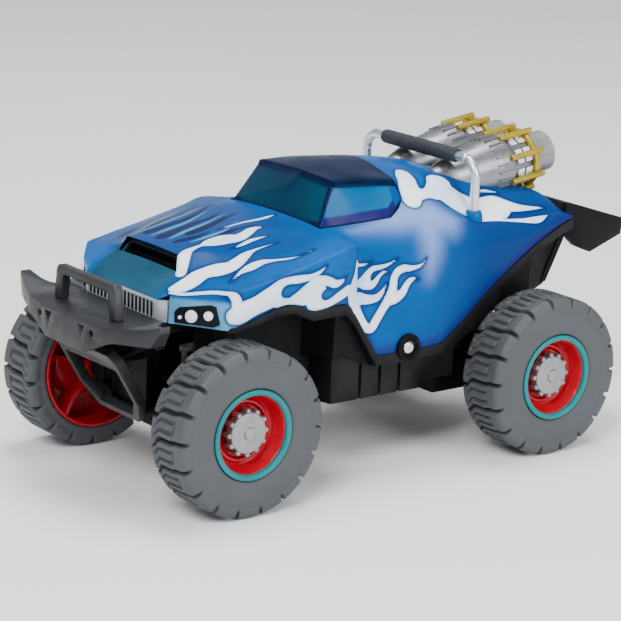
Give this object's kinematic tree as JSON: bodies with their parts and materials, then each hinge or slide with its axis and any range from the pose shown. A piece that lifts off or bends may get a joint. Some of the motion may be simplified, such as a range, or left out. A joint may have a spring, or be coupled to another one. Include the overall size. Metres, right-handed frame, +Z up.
{
  "type": "radio-controlled stunt car",
  "caption": "Off-road radio-controlled stunt car with a sculpted shell, tinted canopy, chunky tyres, front bumper with hoop, roll bar, twin jet tubes and a tail spoiler.",
  "frame": {"origin": "centre of the bounding box at ground level, where the tyres stand", "axes": "+X towards the front bumper, +Y to the left side of the car, +Z up"},
  "size_m": [0.294, 0.149, 0.1467],
  "materials": {
    "shell_blue": "gloss, printed flames",
    "canopy_tint": "tinted clear plastic",
    "roof_navy": "gloss",
    "black_plastic": "satin, fine grain",
    "charcoal_plastic": "satin",
    "silver_plastic": "silver paint",
    "lens_white": "gloss",
    "jet_silver": "silver paint",
    "jet_gold": "gold paint",
    "steel": "bright",
    "foam_slate": "foam grip",
    "tyre_grey": "soft grey rubber",
    "rim_red": "gloss",
    "ring_teal": "gloss",
    "hub_grey": "silver paint",
    "gear_nylon": "natural nylon",
    "brass": "turned",
    "motor_can": "plated can",
    "cell_green": "shrink wrap",
    "board_green": "solder mask"
  },
  "bodies": {
    "chassis": {"body_shell": "shell_blue", "canopy": "canopy_tint", "roof_panel": "roof_navy", "cockpit_tray": "black_plastic", "scoop_insert": "black_plastic", "grille": "silver_plastic", "headlight_bezels": "black_plastic", "headlight_lenses": "lens_white", "front_bumper": "charcoal_plastic", "bull_bar": "charcoal_plastic", "skid_cage": "charcoal_plastic", "bumper_struts": "black_plastic", "upper_frame": "black_plastic", "chassis_tub": "black_plastic", "tail_spoiler": "black_plastic", "side_screw_cups": "black_plastic", "side_screws": "steel", "roll_bar": "steel", "roll_bar_grip": "foam_slate", "jet_housing_left": "jet_silver", "jet_housing_right": "jet_silver", "jet_nozzle_left": "jet_silver", "jet_nozzle_right": "jet_silver", "jet_rods_left": "jet_gold", "jet_rods_right": "jet_gold", "kingpins": "steel", "steering_servo": "black_plastic", "drive_motor": "motor_can", "gearbox_case": "black_plastic", "axle_bushes": "brass", "battery_pack": "cell_green", "circuit_board": "board_green"},
    "rear_drive": {"rear_axle": "steel", "axle_gear": "gear_nylon", "tyre_rear_left": "tyre_grey", "rim_rear_left": "rim_red", "wheel_ring_rear_left": "ring_teal", "hubcap_rear_left": "hub_grey", "tyre_rear_right": "tyre_grey", "rim_rear_right": "rim_red", "wheel_ring_rear_right": "ring_teal", "hubcap_rear_right": "hub_grey"},
    "idler": {"idler_gear": "gear_nylon"},
    "motor_rotor": {"motor_pinion": "brass"},
    "left_knuckle": {"knuckle_left": "black_plastic", "stub_axle_left": "steel"},
    "right_knuckle": {"knuckle_right": "black_plastic", "stub_axle_right": "steel"},
    "front_left_wheel": {"tyre_front_left": "tyre_grey", "rim_front_left": "rim_red", "wheel_ring_front_left": "ring_teal", "hubcap_front_left": "hub_grey"},
    "front_right_wheel": {"tyre_front_right": "tyre_grey", "rim_front_right": "rim_red", "wheel_ring_front_right": "ring_teal", "hubcap_front_right": "hub_grey"},
    "tie_rod": {"tie_rod": "black_plastic"},
    "servo_horn": {"servo_horn": "gear_nylon"},
    "battery_door": {"battery_door": "black_plastic"},
    "power_switch": {"power_switch": "black_plastic"}
  },
  "joints": [
    {"name": "rear_axle_spin", "type": "hinge", "parent": "chassis", "child": "rear_drive", "pos_m": [-0.08, 0, 0.038], "axis": [0, 1, 0], "continuous": true},
    {"name": "idler_spin", "type": "hinge", "parent": "chassis", "child": "idler", "pos_m": [-0.06738, 0, 0.04388], "axis": [0, 1, 0], "continuous": true},
    {"name": "motor_spin", "type": "hinge", "parent": "chassis", "child": "motor_rotor", "pos_m": [-0.05377, 0, 0.04678], "axis": [0, 1, 0], "continuous": true},
    {"name": "steer_left", "type": "hinge", "parent": "chassis", "child": "left_knuckle", "pos_m": [0.096, 0.042, 0.038], "axis": [0, 0, 1], "range_deg": [-18, 18]},
    {"name": "steer_right", "type": "hinge", "parent": "chassis", "child": "right_knuckle", "pos_m": [0.096, -0.042, 0.038], "axis": [0, 0, 1], "range_deg": [-18, 18]},
    {"name": "front_left_spin", "type": "hinge", "parent": "left_knuckle", "child": "front_left_wheel", "pos_m": [0.096, 0.0615, 0.038], "axis": [0, 1, 0], "continuous": true},
    {"name": "front_right_spin", "type": "hinge", "parent": "right_knuckle", "child": "front_right_wheel", "pos_m": [0.096, -0.0615, 0.038], "axis": [0, 1, 0], "continuous": true},
    {"name": "tie_rod_slide", "type": "slide", "parent": "chassis", "child": "tie_rod", "axis": [0, 1, 0], "range_m": [-0.0045, 0.0045]},
    {"name": "servo_turn", "type": "hinge", "parent": "chassis", "child": "servo_horn", "pos_m": [0.068, 0, 0.05], "axis": [0, 0, 1], "range_deg": [-18, 18]},
    {"name": "battery_door_hinge", "type": "hinge", "parent": "chassis", "child": "battery_door", "pos_m": [0.0334, 0, 0.0358], "axis": [0, -1, 0], "range_deg": [0, 100]},
    {"name": "power_switch_slide", "type": "slide", "parent": "chassis", "child": "power_switch", "axis": [1, 0, 0], "range_m": [0, 0.004]}
  ],
  "couplings": [
    {"joint": "idler_spin", "follows": "rear_axle_spin", "ratio": -2.8333},
    {"joint": "motor_spin", "follows": "rear_axle_spin", "ratio": 10.2},
    {"joint": "steer_right", "follows": "steer_left", "ratio": 1},
    {"joint": "tie_rod_slide", "follows": "steer_left", "m_per_rad": -0.014},
    {"joint": "servo_turn", "follows": "steer_left", "ratio": -1}
  ]
}
